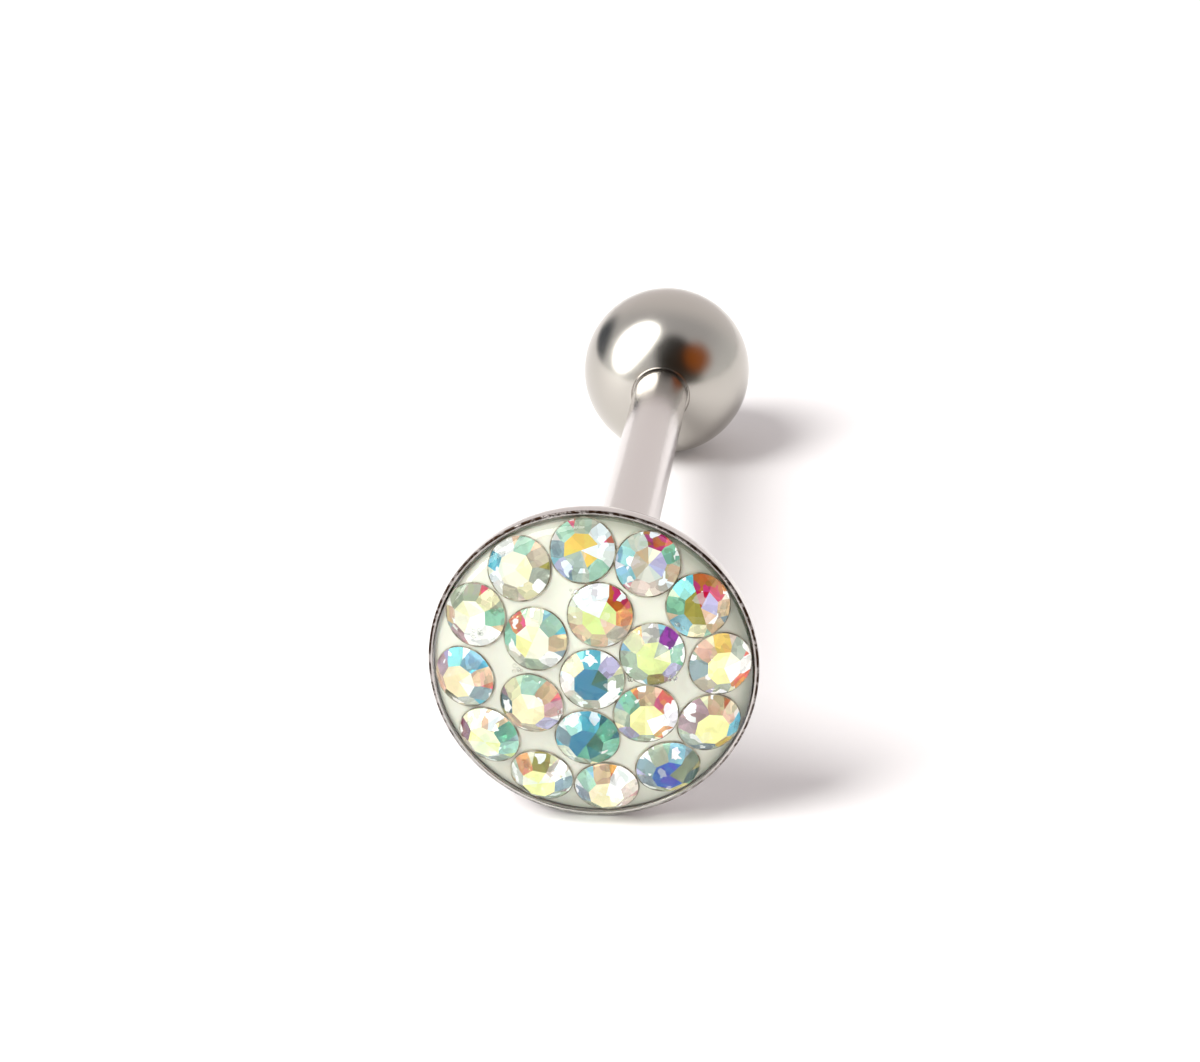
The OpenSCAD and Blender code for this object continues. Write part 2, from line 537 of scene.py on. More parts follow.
def newGroup(name, inputs):    # a geometry node group with named inputs
    group = bpy.data.node_groups.new(name, "GeometryNodeTree")
    sheet = Sheet(group)
    group.interface.new_socket("Geometry", in_out="INPUT", socket_type="NodeSocketGeometry")
    group.interface.new_socket("Geometry", in_out="OUTPUT", socket_type="NodeSocketGeometry")
    for label, kind in inputs.items():
        group.interface.new_socket(label, in_out="INPUT", socket_type="NodeSocket" + kind)
    entry = sheet.node("NodeGroupInput").socket.node
    return group, sheet, {o.name: Wire(sheet, o) for o in entry.outputs if o.name}


def atStones(sheet, given, shape):    # the shape at each crystal's point and lean
    points = sheet.node("GeometryNodeMeshToPoints", None, {"Mesh": given["Geometry"]})
    lean = sheet.node("GeometryNodeInputNamedAttribute", {"data_type": "FLOAT_VECTOR"},
                      {"Name": "stoneLean"})
    turned = sheet.node("FunctionNodeEulerToRotation", None, {"Euler": lean})
    return sheet.node("GeometryNodeInstanceOnPoints", None, {
        "Points": points, "Instance": shape, "Rotation": turned,
    })


def dressed(sheet, geometry, material, smooth=False):    # real meshes in one material
    real = sheet.node("GeometryNodeRealizeInstances", None, {"Geometry": geometry})
    if smooth:
        real = sheet.node("GeometryNodeSetShadeSmooth", None, {"Geometry": real})
    return sheet.node("GeometryNodeSetMaterial", None, {"Geometry": real, "Material": material})


# Cup with bar: one turned piece, since the bar is soldered to the cup

cupWork = {
    "cupRadius": 4.0,
    "depth": 1.0,
    "wall": 0.12,
    "edge": 0.8,        # rounded edge at the back of the cup
    "lipRound": 0.035,
    "lipWave": 0.008,
    "waveDepth": 0.25,  # below the lip, where its wave has died out
    "fillet": 0.4,
    "barRadius": 0.8,
    "barLength": 19.0,
    "barSteps": 24,
    "shoulderChamfer": 0.05,
    "studRoot": 0.64,
    "studLength": 2.6,
    "studChamfer": 0.12,
    "sides": 256,
}


def lipRipple(radius, z, a):    # the thin lip isn't quite even
    depth = cupWork["waveDepth"]
    if radius < cupWork["cupRadius"] - 0.2 or z < -depth:
        return 0.0
    wave = math.sin(3 * a + 0.7) + 0.6 * math.sin(7 * a + 2.1) + 0.4 * math.sin(16 * a)
    return cupWork["lipWave"] * wave * (1 + z / depth)


def cupProfile(work):
    r, wall, edge, lip = work["cupRadius"], work["wall"], work["edge"], work["lipRound"]
    bar, fillet, root = work["barRadius"], work["fillet"], work["studRoot"]
    back = -work["depth"]
    ring, edgeZ = r - edge, edge + back
    shoulder = back - work["barLength"]
    chamfered = shoulder + work["shoulderChamfer"]
    filletEnd = back - fillet
    tip, tipChamfer = shoulder - work["studLength"], work["studChamfer"]
    points = [(0, tip), (root - tipChamfer, tip), (root, tip + tipChamfer), (root, shoulder)]
    points += [(bar - work["shoulderChamfer"], shoulder), (bar, chamfered)]
    steps = work["barSteps"]
    points += [(bar, chamfered + (filletEnd - chamfered) * i / steps) for i in range(1, steps)]
    points += arc(bar + fillet, filletEnd, fillet, 180, 90, 12)
    points += [(bar + fillet + (ring - bar - fillet) * i / 6, back) for i in range(1, 6)]
    points += arc(ring, edgeZ, edge, -90, 0, 24)
    points += arc(r - lip, -lip, lip, 0, 90, 5)
    points += arc(r - wall + lip, -lip, lip, 90, 180, 5)
    points += arc(ring, edgeZ, edge - wall, 0, -90, 16)
    points += [(0, wall + back)]
    return points


cupPiece = turnedPiece("steel_cup_and_bar", "cup_and_bar_turned", cupProfile(cupWork),
                       cupWork["sides"], steelMaterial, ripple=lipRipple)
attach(cupPiece, "bar")
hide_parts("cup_and_bar")
print("cup and bar turned")

# Thread of the stud: a helical ridge

threadWork = {
    "coreRadius": 0.655,
    "ridge": 0.085,       # radius of the three-sided ridge
    "pitch": 0.35,
    "start": -20.2,
    "turns": 6.4,
}


def threadGroup():
    group, sheet, given = newGroup("helical_ridge", {
        "Core Radius": "Float", "Ridge Radius": "Float", "Turns": "Float", "Length": "Float",
        "Start": "Vector", "Material": "Material",
    })
    spiral = sheet.node("GeometryNodeCurveSpiral", None, {
        "Resolution": 48,
        "Rotations": given["Turns"],
        "Start Radius": given["Core Radius"],
        "End Radius": given["Core Radius"],
        "Height": given["Length"],
    })
    upright = sheet.node("GeometryNodeSetCurveNormal", {"mode": "Z_UP"}, {"Curve": spiral})
    ridge = sheet.node("GeometryNodeCurvePrimitiveCircle", None, {
        "Resolution": 3, "Radius": given["Ridge Radius"],
    })
    swept = sheet.node("GeometryNodeCurveToMesh", None, {
        "Curve": upright, "Profile Curve": ridge, "Fill Caps": True,
    })
    placed = sheet.node("GeometryNodeTransform", None, {
        "Geometry": swept, "Translation": given["Start"],
    })
    sheet.node("NodeGroupOutput", None, {0: dressed(sheet, placed, given["Material"])})
    return group


threadLength = threadWork["turns"] * threadWork["pitch"]
threadPiece = grown("steel_thread", threadGroup(), bpy.data.meshes.new("thread_start"), {
    "Core Radius": threadWork["coreRadius"],
    "Ridge Radius": threadWork["ridge"],
    "Turns": threadWork["turns"],
    "Length": threadLength,
    "Start": (0, 0, threadWork["start"] - threadLength),
    "Material": steelMaterial,
})
layDown(threadPiece.data)
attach(threadPiece, "bar")
print("thread swept")

# Ball: turned, with the seat and the blind hole for the stud

ballWork = {
    "hole": 0.78,
    "seat": 0.84,
    "seatOut": 2.26,     # from the ball's middle to the seat
    "holeDepth": 2.8,
    "drillPoint": 0.35,
    "mouthRound": 0.04,
    "sides": 192,
    "steps": 96,
}


def ballProfile(work):
    r, z = jewel["ballRadius"], -jewel["lipToBall"]
    lip = work["seat"] + work["mouthRound"]
    opening = math.degrees(math.asin(lip / r))
    seatZ = z + work["seatOut"]
    mouth = math.sqrt(r * r - lip * lip)
    points = arc(0, z, r, -90, 90 - opening, work["steps"])
    points[0] = (0, z - r)
    points += [(work["seat"], z + mouth - work["mouthRound"] * 0.4), (work["seat"], seatZ)]
    points += [(work["hole"], seatZ), (work["hole"], seatZ - work["holeDepth"])]
    points += [(0, seatZ - work["holeDepth"] - work["drillPoint"])]
    return points


ballPiece = turnedPiece("steel_ball", "ball_turned", ballProfile(ballWork),
                        ballWork["sides"], ballMaterial)
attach(ballPiece, "ball")
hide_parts("ball")
print("ball turned")

# Crystals. Each row: the crystal's ring radius and bearing on the dome, its turn about
# its own axis, the tint of its table, the patches of other tints in the table by their
# bearings, and the tints of the crown's 16 facets. The tints are partly the coat's colour and
# partly painted reflection, and the white patches and facets are painted highlights.
# Bearings are in degrees, anticlockwise from the right as seen from the front. The facets go
# the same way round, from the first one at or past the right, and "-" leaves a facet's tint
# to chance.

tints = {
    "white": paint(255, 255, 253),
    "cream": paint(254, 249, 226),
    "straw": paint(252, 247, 202),
    "butter": paint(255, 240, 192),
    "lemon": paint(255, 249, 168),
    "gold": paint(250, 212, 108),
    "lime": paint(230, 242, 156),
    "mint": paint(176, 220, 198),
    "jade": paint(134, 198, 168),
    "sea": paint(84, 158, 134),
    "teal": paint(0, 90, 104),
    "cyan": paint(96, 196, 216),
    "cerulean": paint(0, 112, 156),
    "royal": paint(0, 62, 172),
    "sky": paint(150, 206, 222),
    "lavender": paint(196, 190, 226),
    "violet": paint(142, 20, 158),
    "crimson": paint(188, 24, 76),
    "wine": paint(134, 62, 76),
    "russet": paint(192, 50, 28),
    "coral": paint(228, 112, 88),
    "orange": paint(236, 158, 92),
    "tan": paint(220, 190, 152),
    "peach": paint(244, 206, 174),
    "blush": paint(234, 214, 202),
    "rose": paint(222, 166, 170),
    "mauve": paint(184, 150, 158),
    "taupe": paint(204, 194, 172),
    "sage": paint(186, 198, 174),
    "slate": paint(142, 162, 172),
    "ash": paint(166, 170, 160),
    "haze": paint(188, 198, 184),
    "pearl": paint(224, 224, 210),
    "olive": paint(164, 156, 76),
    "moss": paint(110, 114, 86),
    "bottle": paint(24, 78, 68),
}

crystals = {
    "stone_01": (0.06, -5, 27.5, "cerulean", {45: "bottle", 0: "teal"},
                 "sage straw lavender white cyan cyan peach straw "
                 "white - pearl - taupe white white sea"),
    "stone_02": (1.62, 82, 30.5, "lime", {90: "white", 135: "white", -45: "peach"},
                 "orange coral russet russet white white white cream "
                 "straw tan peach sage tan - taupe tan"),
    "stone_03": (1.62, 24, 5, "lime", {6: "straw", 51: "sage"},
                 "mint white violet sky pearl orange tan - "
                 "sage - sage - olive mauve lavender jade"),
    "stone_04": (1.62, -34, 11.5, "lemon", {0: "white", -45: "white"},
                 "white rose coral peach tan orange jade slate "
                 "sage straw lavender mint sage straw orange white"),
    "stone_05": (1.60, -92, 14, "cerulean", {34: "bottle", -10: "bottle", -55: "teal",
                 -100: "sea"},
                 "teal sea teal cyan cyan sky white slate "
                 "cyan cream white sage straw sea mint jade"),
    "stone_06": (1.60, -151.5, 39, "butter", {45: "cream", 90: "cream"},
                 "rose coral tan mint mint sage straw mauve "
                 "bottle olive peach peach taupe tan lavender white"),
    "stone_07": (1.60, 145, 12.5, "cream", {180: "lemon", -135: "lemon", 90: "straw"},
                 "tan cyan mint sky blush sage coral jade "
                 "jade sage pearl ash sage haze white slate"),
    "stone_08": (3.09, 94.5, 18, "gold", {0: "white", -90: "haze", -135: "haze"},
                 "white coral white taupe sage coral mint white "
                 "slate sky lavender slate haze mint mint white"),
    "stone_09": (3.09, 65, 27.5, "pearl", {-20: "lavender", 25: "lavender", 115: "tan",
                 70: "cream", 160: "taupe", -155: "taupe"},
                 "sage jade coral crimson crimson mauve slate sky "
                 "white sky rose blush cream blush white tan"),
    "stone_10": (3.09, 35.5, 27, "olive", {85: "crimson", 40: "lavender", -5: "lavender",
                 -50: "peach"},
                 "cream coral russet crimson cyan cyan sage jade "
                 "- sky sky straw mint tan slate tan"),
    "stone_11": (3.09, 6, 16.5, "lemon", {0: "white", -45: "white", 45: "cream"},
                 "white coral haze blush gold straw peach sage "
                 "slate slate taupe lavender sage straw orange coral"),
    "stone_12": (3.09, -23.5, 35, "lemon", {},
                 "cyan peach crimson tan straw mauve taupe mauve "
                 "sage haze slate slate sage gold taupe cyan"),
    "stone_13": (3.09, -53, 12, "royal", {26: "moss", -18: "moss"},
                 "olive moss slate sky mint sage white slate "
                 "lavender slate sage sage lemon lemon jade bottle"),
    "stone_14": (3.09, -83, 25, "butter", {9: "white", 54: "white"},
                 "blush white white orange tan sky mint white "
                 "slate slate sage sage cream blush blush rose"),
    "stone_15": (3.09, -113, 40, "lemon", {174: "cream", 39: "cream"},
                 "white blush straw olive cream orange sage pearl "
                 "- moss sky white white sage mauve slate"),
    "stone_16": (3.09, -143.5, 16, "straw", {-15: "lemon", 165: "lemon"},
                 "slate sea peach peach white straw straw wine "
                 "wine blush tan pearl sage haze lime mint"),
    "stone_17": (3.09, -174, 33, "butter", {-28: "white", 16: "cream"},
                 "peach cyan sky white cyan lavender mauve tan "
                 "peach peach moss straw haze cyan slate coral"),
    "stone_18": (3.09, 155, 7, "cream", {-40: "white", -85: "white", 4: "white", 139: "straw"},
                 "jade sage straw coral wine sage sage white "
                 "tan slate mauve rose white white white tan"),
    "stone_19": (3.09, 124.5, 20, "cream", {32: "straw", -13: "straw"},
                 "olive taupe peach mint peach white white cyan "
                 "cream white white taupe blush straw slate ash"),
}

crystalWork = {
    "girdle": 0.77,
    "table": 0.43,         # to its corners
    "crown": 0.34,
    "pavilion": 0.76,
    "over": 0.02,          # how far past the girdle the planes of the facets meet
    "starReach": 0.805,    # small facets between the crown's large ones
    "starClear": 0.02,     # they stay this far off the table's corners
    "facets": 8,
    "roundSides": 64,
    "patchWidth": 24,      # degrees to either side
    "depth": 2,            # glass passes the root of its tint
    "crownLight": (0.78, 1.0),
    "tableLight": (0.92, 1.0),
    "foilLight": (0.88, 1.04),
    "foilPale": 0.7,       # share of white in the foil's tint
    "tableBroken": 0.15,   # a table is nearly whole, a crown facet has slivers
    "quiet": ["pearl", "mint", "haze", "blush", "lavender", "white", "ash", "sky", "haze"],
    "bright": ["white", "pearl", "cream", "white", "sky", "mint", "peach"],
    "seed": 11,
}

tableFace, crownFace, starFace, girdleFace, foilFace = range(5)


def cutStone(work):    # one crystal, cut facet by facet from a round blank
    count, girdle = work["facets"], work["girdle"]
    corner = (girdle + work["over"]) / math.cos(math.pi / count)
    flat = math.cos(math.pi / count)
    blank = bmesh.new()
    bmesh.ops.create_cone(
        blank, cap_ends=True, segments=work["roundSides"], radius1=girdle, radius2=girdle,
        depth=2, matrix=Matrix.Rotation(math.pi / work["roundSides"], 4, "Z"),
    )

    def cut(point, normal):
        geometry = blank.verts[:] + blank.edges[:] + blank.faces[:]
        result = bmesh.ops.bisect_plane(
            blank, geom=geometry, plane_co=point, plane_no=normal, clear_outer=True, dist=1e-5,
        )
        edges = [e for e in result["geom_cut"] if isinstance(e, bmesh.types.BMEdge)]
        if edges:
            bmesh.ops.contextual_create(blank, geom=edges)

    rise = math.atan2(work["crown"], (corner - work["table"]) * flat)
    starRun = work["starReach"] - work["table"] - work["starClear"]
    starRise = math.atan2(work["crown"], starRun)
    cut((0, 0, work["crown"]), (0, 0, 1))
    for k in range(count):
        a = 2 * math.pi * (k + 0.5) / count
        out = Vector((math.cos(a), math.sin(a), 0))
        cut(out * corner * flat, out * math.sin(rise) + Vector((0, 0, math.cos(rise))))
        a = 2 * math.pi * k / count    # stars and pavilion are turned half a facet
        drop = math.atan2(work["pavilion"], corner * flat)
        out = Vector((math.cos(a), math.sin(a), 0))
        cut(out * work["starReach"],
            out * math.sin(starRise) + Vector((0, 0, math.cos(starRise))))
        cut(out * corner * flat, out * math.sin(drop) - Vector((0, 0, math.cos(drop))))
    bmesh.ops.remove_doubles(blank, verts=blank.verts, dist=1e-4)
    table = max(blank.faces, key=lambda face: face.calc_center_median().z)
    bmesh.ops.poke(blank, faces=[table])
    bmesh.ops.recalc_face_normals(blank, faces=blank.faces)
    kind = blank.faces.layers.int.new("facetKind")
    between = (math.cos(rise) + math.cos(starRise)) / 2
    for face in blank.faces:
        tilt = face.normal.z
        face[kind] = (
            tableFace if tilt > 0.99 else crownFace if tilt > between
            else starFace if tilt > 0.2 else girdleFace if tilt > -0.2 else foilFace
        )
    mesh = bpy.data.meshes.new("cut_stone")
    blank.to_mesh(mesh)
    blank.free()
    return mesh


def settingGroup():
    group, sheet, given = newGroup("set_stones", {
        "Stone": "Object", "Crown": "Material", "Foil": "Material", "Girdle": "Material",
    })
    stone = sheet.node("GeometryNodeObjectInfo", None, {"Object": given["Stone"]},
                       output="Geometry")
    done = dressed(sheet, atStones(sheet, given, stone), given["Crown"])
    kind = sheet.node("GeometryNodeInputNamedAttribute", {"data_type": "INT"},
                      {"Name": "facetKind"})
    for label, wanted in (("Girdle", girdleFace), ("Foil", foilFace)):
        chosen = sheet.node("FunctionNodeCompare", {"data_type": "INT", "operation": "EQUAL"},
                            {"A": kind, "B": wanted})
        done = sheet.node("GeometryNodeSetMaterial", None, {
            "Geometry": done, "Selection": chosen, "Material": given[label],
        })
    sheet.node("NodeGroupOutput", None, {0: done})
    return group


def stonePlace(ring, bearing, turn):    # where a crystal's girdle sits on the dome
    lean = math.asin(ring / jewel["domeRadius"])
    return (
        Matrix.Translation((0, 0, domeZ))
        @ Matrix.Rotation(math.radians(bearing), 4, "Z")
        @ Matrix.Rotation(lean, 4, "Y")
        @ Matrix.Translation((0, 0, jewel["domeRadius"]))
        @ Matrix.Rotation(math.radians(turn), 4, "Z")
    )


def pointsOf(meshName, names):    # a point for each crystal, with its lean
    mesh = bpy.data.meshes.new(meshName)
    places = [stonePlace(*crystals[name][:3]) for name in names]
    mesh.from_pydata([p.translation for p in places], [], [])
    lean = mesh.attributes.new("stoneLean", "FLOAT_VECTOR", "POINT")
    for k, p in enumerate(places):
        lean.data[k].vector = p.to_euler()
    return mesh


def facetTint(row, kind, bearing, draw, work):
    tableTint, patches, crownTints = row[3:]
    if kind == foilFace:
        light, pale = draw.uniform(*work["foilLight"]), work["foilPale"]
        tint = tints[draw.choice(work["quiet"])]
        return tuple(light * (pale + (1 - pale) * c) for c in tint[:3])
    name, light = draw.choice(work["quiet"]), draw.uniform(*work["crownLight"])
    if kind == tableFace:
        light = draw.uniform(*work["tableLight"])
        away = [(abs((at - bearing + 180) % 360 - 180), patch) for at, patch in patches.items()]
        near = min(away, default=(360, tableTint))
        name = near[1] if near[0] <= work["patchWidth"] else tableTint
    else:
        if kind == starFace:
            name = draw.choice(work["bright"])
        step = 360 / 2 / work["facets"]
        first = (row[1] + row[2]) % step
        charted = crownTints.split()[round((bearing - first) / step) % (2 * work["facets"])]
        name = name if charted == "-" else charted
    light = 1.0 if name == "white" else light
    return tuple(light * c ** work["depth"] for c in tints[name][:3])


def tintStones(mesh, names, facesEach, work):
    # tints per facet: partly coat colour, partly painted reflection; on the foil they also
    # colour its painted glow
    mesh.attributes.new("coatAndReflectionTint", "FLOAT_COLOR", "FACE")
    mesh.attributes.new("coatBroken", "FLOAT", "FACE")
    colours, broken = mesh.attributes["coatAndReflectionTint"], mesh.attributes["coatBroken"]
    kinds = mesh.attributes["facetKind"]
    for n, name in enumerate(names):
        row = crystals[name]
        draw = random.Random(work["seed"] + int(name[-2:]))
        toStone = stonePlace(*row[:3]).inverted()
        shared = {}    # one tint for each facet, also where cutting split it
        for face in mesh.polygons[n * facesEach:(n + 1) * facesEach]:
            kind = kinds.data[face.index].value
            away = toStone @ face.center
            bearing = math.degrees(math.atan2(away.y, away.x)) + row[1] + row[2]
            key = (kind, round(face.normal.x, 3), round(face.normal.y, 3))
            if kind == tableFace:
                key += (face.index,)
            if key not in shared:
                shared[key] = facetTint(row, kind, bearing, draw, work)
            colours.data[face.index].color = (*shared[key], 1)
            broken.data[face.index].value = work["tableBroken"] if kind == tableFace else 1.0


stoneMesh = cutStone(crystalWork)
stoneFaces = len(stoneMesh.polygons)
stoneMesh.materials.append(crownMaterial)
masterStone = newObject("master_stone", stoneMesh)
stoneSetting = settingGroup()
recordSlots = {part["node"]: part["material_slot"] for part in frame["record"]["subparts"]}
slotNames = sorted({recordSlots[name] for name in crystals})
for slotName in slotNames:
    names = [name for name in crystals if recordSlots[name] == slotName]
    start = pointsOf("stone_points", names)
    piece = grown("stones_" + slotName.split("_")[1], stoneSetting, start, {
        "Stone": masterStone,
        "Crown": crownMaterial,
        "Foil": foilMaterial,
        "Girdle": girdleMaterial,
    })
    tintStones(piece.data, names, stoneFaces, crystalWork)
    layDown(piece.data)
    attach(piece, "bar")
    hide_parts(*names)
print("crystals cut and set")

# Bed: fills the cup, with a socket for each crystal and a low rise round it

bedWork = {
    "radius": 3.86,
    "floor": -0.86,
    "edge": 0.66,
    "below": 0.01,         # under the sphere of the girdles
    "socketSection": [(0, -0.84), (0.776, -0.06), (0.776, 0.52), (0, 0.52)],
    "socketSides": 64,
    "sink": 0.006,
    "rise": 0.03,          # where the putty climbs a girdle
    "riseReach": 0.16,
    "ringStep": 0.07,
    "sides": 192,
}


def bedRipple(radius, z, a):
    if z < 0:
        return 0.0
    here = Vector((radius * math.cos(a), radius * math.sin(a)))
    lift = -bedWork["sink"]
    for row in crystals.values():
        there = stonePlace(*row[:3]).translation
        gap = max(0.0, (here - there.xy).length - crystalWork["girdle"])
        lift += bedWork["rise"] * math.exp(-(gap / bedWork["riseReach"]) ** 2)
    return min(lift, bedWork["rise"])


def bedProfile(work):
    r, edge = work["radius"], work["edge"]
    dome = jewel["domeRadius"] - work["below"]
    points = [(0, work["floor"])]
    points += arc(r - edge, work["floor"] + edge, edge, -90, 0, 12)
    rings = round(r / work["ringStep"])
    for i in range(rings + 1):
        x = r * (1 - i / rings)
        points.append((x, domeZ + math.sqrt(dome * dome - x * x)))
    return points


def socketCutter(work):    # the shape of all the sockets at once
    cutter = bpy.data.meshes.new("sockets")
    shape = bmesh.new()
    for row in crystals.values():
        socket = turnedMesh("socket", work["socketSection"], work["socketSides"])
        socket.transform(stonePlace(*row[:3]))
        shape.from_mesh(socket)
        bpy.data.meshes.remove(socket)
    shape.to_mesh(cutter)
    shape.free()
    return cutter


bedMesh = turnedMesh("bed_turned", bedProfile(bedWork), bedWork["sides"], bedRipple)
bedBlank = newObject("bed_blank", bedMesh)
cutterObject = newObject("socket_cutter", socketCutter(bedWork))
sockets = bedBlank.modifiers.new("sockets", "BOOLEAN")
sockets.operation = "DIFFERENCE"
sockets.solver = "EXACT"
sockets.object = cutterObject
bedPiece = evaluated(bedBlank, "ivory_bed")
bedPiece.data.set_sharp_from_angle(angle=math.radians(40))
layDown(bedPiece.data)
bedPiece.data.materials.clear()
bedPiece.data.materials.append(bedMaterial)
bpy.data.objects.remove(cutterObject)
bpy.data.objects.remove(masterStone)
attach(bedPiece, "bar")
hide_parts("setting")
print("bed filled")

# Beads of putty: a thin dark line of it round each girdle, partly a dark joint and partly
# painted contact shadow

beadWork = {
    "ring": 0.784,
    "thickness": 0.017,
    "height": 0.014,
    "sides": 56,
    # partly the joint's dark colour, partly painted contact shadow
    "colour": paint(92, 86, 66),
    "clean": paint(196, 192, 172),
}


def makeBeads(work):
    material, sheet = newMaterial("putty_bead")
    place = sheet.attribute("placeMm")
    patches = sheet.noise(place, 2.4, 4.0, 0.7)
    # dark in patches: the joint's colour and painted contact shadow
    jointAndShade = 0.15 + 0.85 * sheet.ramp(patches, 0.62, 0.4)
    principled(sheet, {
        "Base Color": sheet.blend(jointAndShade, work["clean"], work["colour"]),
        "Roughness": 0.45 + patches * 0.2,
        "Normal": sheet.bump(patches, 0.3, 0.00002),
    })
    return material


def beadGroup():
    group, sheet, given = newGroup("putty_beads", {
        "Ring": "Float", "Thickness": "Float", "Height": "Vector", "Sides": "Int",
        "Material": "Material",
    })
    path = sheet.node("GeometryNodeCurvePrimitiveCircle", None, {
        "Resolution": given["Sides"], "Radius": given["Ring"],
    })
    section = sheet.node("GeometryNodeCurvePrimitiveCircle", None, {
        "Resolution": 6, "Radius": given["Thickness"],
    })
    bead = sheet.node("GeometryNodeCurveToMesh", None, {
        "Curve": path, "Profile Curve": section,
    })
    raised = sheet.node("GeometryNodeTransform", None, {
        "Geometry": bead, "Translation": given["Height"],
    })
    beads = atStones(sheet, given, raised)
    sheet.node("NodeGroupOutput", None, {0: dressed(sheet, beads, given["Material"], True)})
    return group


beadPiece = grown("putty_beads", beadGroup(), pointsOf("bead_points", crystals), {
    "Ring": beadWork["ring"],
    "Thickness": beadWork["thickness"],
    "Height": (0, 0, beadWork["height"]),
    "Sides": beadWork["sides"],
    "Material": makeBeads(beadWork),
})
layDown(beadPiece.data)
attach(beadPiece, "bar")
print("beads laid")

# Resin: poured over the crystals and the bed, rounded where it meets the lip

resinWork = {
    "radius": 3.86,
    "outer": 9.64,         # radius of its domed face
    "edge": 0.4,
    "under": 9.19,         # radius of its hidden underside
    "sides": 256,
}


def resinProfile(work):
    roundX = work["radius"] - work["edge"]
    hold = work["outer"] - work["edge"]
    roundZ = domeZ + math.sqrt(hold * hold - roundX * roundX)
    side = math.degrees(math.asin(roundX / hold))
    under = math.degrees(math.asin(work["radius"] / work["under"]))
    points = arc(0, domeZ, work["under"], 90, 90 - under, 40)
    points[0] = (0, domeZ + work["under"])
    points += arc(roundX, roundZ, work["edge"], 0, 90 - side, 20)
    points += arc(0, domeZ, work["outer"], 90 - side, 90, 60)[1:]
    points[-1] = (0, domeZ + work["outer"])
    return points


resinPiece = turnedPiece("clear_resin_dome", "resin_turned", resinProfile(resinWork),
                         resinWork["sides"], resinMaterial, sharp=40)
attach(resinPiece, "bar")
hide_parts("resin_dome")
print("resin poured")

# Air trapped in the resin, in small clusters where crystals nearly touch

airWork = {
    "clusters": [
        (-2.72, 0.95), (-1.72, 0.2), (-0.72, -0.86), (1.04, 0.1), (0.5, -1.28), (2.1, 1.42),
        (-0.4, 2.2), (-2.2, 1.6), (1.95, 0.2), (-1.55, -2.5),
    ],
    "above": 0.24,      # over the sphere of the girdles
    "perCluster": 5,
    "spread": (0.1, 0.1, 0.08),
    "smallest": 0.022,
    "largest": 0.06,
    "seed": 4,
}


def airGroup():
    group, sheet, given = newGroup("trapped_air", {
        "Amount": "Int", "Spread": "Vector", "Smallest": "Float", "Largest": "Float",
        "Seed": "Int", "Material": "Material",
    })
    points = sheet.node("GeometryNodeMeshToPoints", None, {"Mesh": given["Geometry"]})
    many = sheet.node("GeometryNodeDuplicateElements", {"domain": "POINT"}, {
        "Geometry": points, "Amount": given["Amount"],
    })
    offset = sheet.node("FunctionNodeRandomValue", {"data_type": "FLOAT_VECTOR"}, {
        "Min": sheet.scaled(given["Spread"], (-1.0, -1.0, -1.0)), "Max": given["Spread"],
        "Seed": given["Seed"],
    })
    spread = sheet.node("GeometryNodeSetPosition", None, {"Geometry": many, "Offset": offset})
    size = sheet.node("FunctionNodeRandomValue", {"data_type": "FLOAT"}, {
        2: given["Smallest"], 3: given["Largest"], "Seed": given["Seed"] + 1,
    }, output=1)
    ball = sheet.node("GeometryNodeMeshIcoSphere", None, {"Radius": 1.0, "Subdivisions": 3})
    placed = sheet.node("GeometryNodeInstanceOnPoints", None, {
        "Points": spread, "Instance": ball, "Scale": size,
    })
    sheet.node("NodeGroupOutput", None, {0: dressed(sheet, placed, given["Material"], True)})
    return group


airStart = bpy.data.meshes.new("air_points")
airRadius = jewel["domeRadius"] + airWork["above"]
airStart.from_pydata([
    (x, y, domeZ + math.sqrt(airRadius ** 2 - x * x - y * y)) for x, y in airWork["clusters"]
], [], [])
airPiece = grown("air_bubbles", airGroup(), airStart, {
    "Amount": airWork["perCluster"],
    "Spread": airWork["spread"],
    "Smallest": airWork["smallest"],
    "Largest": airWork["largest"],
    "Seed": airWork["seed"],
    "Material": airMaterial,
})
layDown(airPiece.data)
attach(airPiece, "bar")
print("air bubbles scattered")

# Floor, light and camera

studio = {
    "floorRadius": 0.7,
    "floorThickness": 0.004,
    "floor": paint(246, 245, 246),
    "fibres": paint(236, 234, 238),
    "fibreScale": 900.0,
    "background": (1.08, 1.08, 1.08, 1),
    "zenith": (0.62, 0.60, 0.61, 1),
    "horizon": (0.88, 0.87, 0.86, 1),
    "zenithFrom": 0.8,     # height of a direction at which the zenith's colour is full
    "strength": 1.0,
    "onMatt": 0.87,        # the room's light on matt things, to its light on polished ones
}


def makeFloor(look):
    material, sheet = newMaterial("pale_floor")
    place = sheet.node("ShaderNodeTexCoord", output=3)
    fibres = sheet.noise(place, look["fibreScale"], 3.0)
    principled(sheet, {
        "Base Color": sheet.blend(fibres * 0.06, look["floor"], look["fibres"]),
        "Roughness": 0.6,
        "Specular IOR Level": 0.2,
        "Normal": sheet.bump(fibres, 0.03, 0.0001),
    })
    radius, under = look["floorRadius"], -look["floorThickness"]
    mesh = turnedMesh("floor", [(0, under), (radius, under), (radius, 0.0), (0, 0.0)], 96)
    for face in mesh.polygons:
        face.use_smooth = False
    mesh.materials.append(material)
    return newObject("floor", mesh)


makeFloor(studio)


